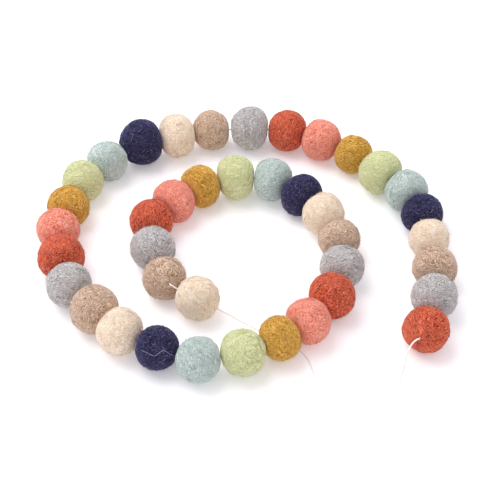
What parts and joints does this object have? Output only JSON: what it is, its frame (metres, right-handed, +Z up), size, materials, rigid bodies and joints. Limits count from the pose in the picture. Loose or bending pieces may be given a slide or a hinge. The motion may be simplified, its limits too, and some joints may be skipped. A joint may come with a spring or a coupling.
{
  "type": "felt ball garland",
  "caption": "Garland of round wool felt balls in warm and cool colours, threaded tight on white cotton thread and laid in an open spiral with both thread ends loose.",
  "frame": {"origin": "on the table, at the centre of the balls' box", "axes": "+Z up from the table, +X along the spiral's longest extent, +Y towards the spiral's far side"},
  "size_m": [0.2383, 0.2141, 0.0275],
  "materials": {
    "felt_rust": "wet-felted wool, rust red",
    "felt_grey": "wet-felted wool, warm grey",
    "felt_tan": "wet-felted wool, tan",
    "felt_cream": "wet-felted wool, cream",
    "felt_navy": "wet-felted wool, dark navy with pale lint",
    "felt_blue": "wet-felted wool, pale grey blue",
    "felt_green": "wet-felted wool, pale yellow green",
    "felt_mustard": "wet-felted wool, mustard",
    "felt_coral": "wet-felted wool, coral pink",
    "cotton_thread": "twisted white cotton thread"
  },
  "bodies": {
    "root": {"ball_01": "felt_rust", "ball_02": "felt_grey", "ball_03": "felt_tan", "ball_04": "felt_cream", "ball_05": "felt_navy", "ball_06": "felt_blue", "ball_07": "felt_green", "ball_08": "felt_mustard", "ball_09": "felt_coral", "ball_10": "felt_rust", "ball_11": "felt_grey", "ball_12": "felt_tan", "ball_13": "felt_cream", "ball_14": "felt_navy", "ball_15": "felt_blue", "ball_16": "felt_green", "ball_17": "felt_mustard", "ball_18": "felt_coral", "ball_19": "felt_rust", "ball_20": "felt_grey", "ball_21": "felt_tan", "ball_22": "felt_cream", "ball_23": "felt_navy", "ball_24": "felt_blue", "ball_25": "felt_green", "ball_26": "felt_mustard", "ball_27": "felt_coral", "ball_28": "felt_rust", "ball_29": "felt_grey", "ball_30": "felt_tan", "ball_31": "felt_cream", "ball_32": "felt_navy", "ball_33": "felt_blue", "ball_34": "felt_green", "ball_35": "felt_mustard", "ball_36": "felt_coral", "ball_37": "felt_rust", "ball_38": "felt_grey", "ball_39": "felt_tan", "ball_40": "felt_cream", "thread_strung": "cotton_thread", "thread_tail_outer": "cotton_thread", "thread_tail_inner": "cotton_thread"}
  },
  "joints": []
}
